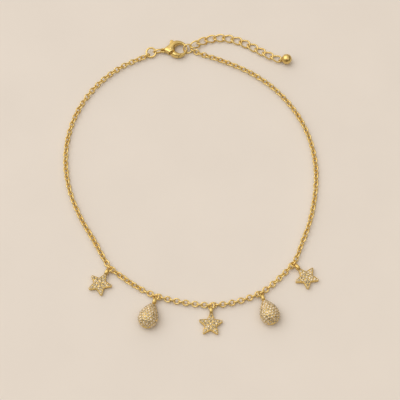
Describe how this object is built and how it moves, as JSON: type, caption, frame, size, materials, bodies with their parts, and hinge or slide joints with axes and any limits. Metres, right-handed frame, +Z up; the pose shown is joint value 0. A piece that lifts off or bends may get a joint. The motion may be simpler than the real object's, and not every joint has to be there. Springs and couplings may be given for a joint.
{
  "type": "charm necklace",
  "caption": "Fine gold cable-chain necklace lying closed, with stone-set star and pear-drop charms on jump rings, a lobster clasp with a sprung lever and a curb-link extender.",
  "frame": {"origin": "middle of the box around the necklace as it lies, to within a millimetre, on the surface that it lies on", "axes": "+Z up from the surface, +Y from the charms towards the clasp, +X to the right seen from above"},
  "size_m": [0.1082, 0.142, 0.0061],
  "materials": {
    "gold": "polished gold plate",
    "stone_set_gold": "gold plate set closely with small clear cut stones"
  },
  "bodies": {
    "necklace": {"clasp_ring": "gold", "clasp_link": "gold", "end_ring": "gold", "chain_left": "gold", "chain_right": "gold", "clasp_body": "gold", "extender_link_01": "gold", "extender_link_02": "gold", "extender_link_03": "gold", "extender_link_04": "gold", "extender_link_05": "gold", "extender_link_06": "gold", "extender_link_07": "gold", "extender_link_08": "gold", "extender_link_09": "gold", "extender_link_10": "gold", "extender_link_11": "gold", "extender_ball": "gold", "star_left_ring": "gold", "drop_left_ring": "gold", "star_centre_ring": "gold", "drop_right_ring": "gold", "star_right_ring": "gold", "star_left": "stone_set_gold", "drop_left": "stone_set_gold", "star_centre": "stone_set_gold", "drop_right": "stone_set_gold", "star_right": "stone_set_gold"},
    "lever": {"clasp_lever": "gold"}
  },
  "joints": [
    {"name": "clasp_lever_hinge", "type": "hinge", "parent": "necklace", "child": "lever", "pos_m": [-0.00888, 0.06204, 0.0014], "axis": [0, 0, 1], "range_deg": [0, 26], "stiffness_Nm_per_rad": 0.012, "springref_deg": -17.19}
  ]
}
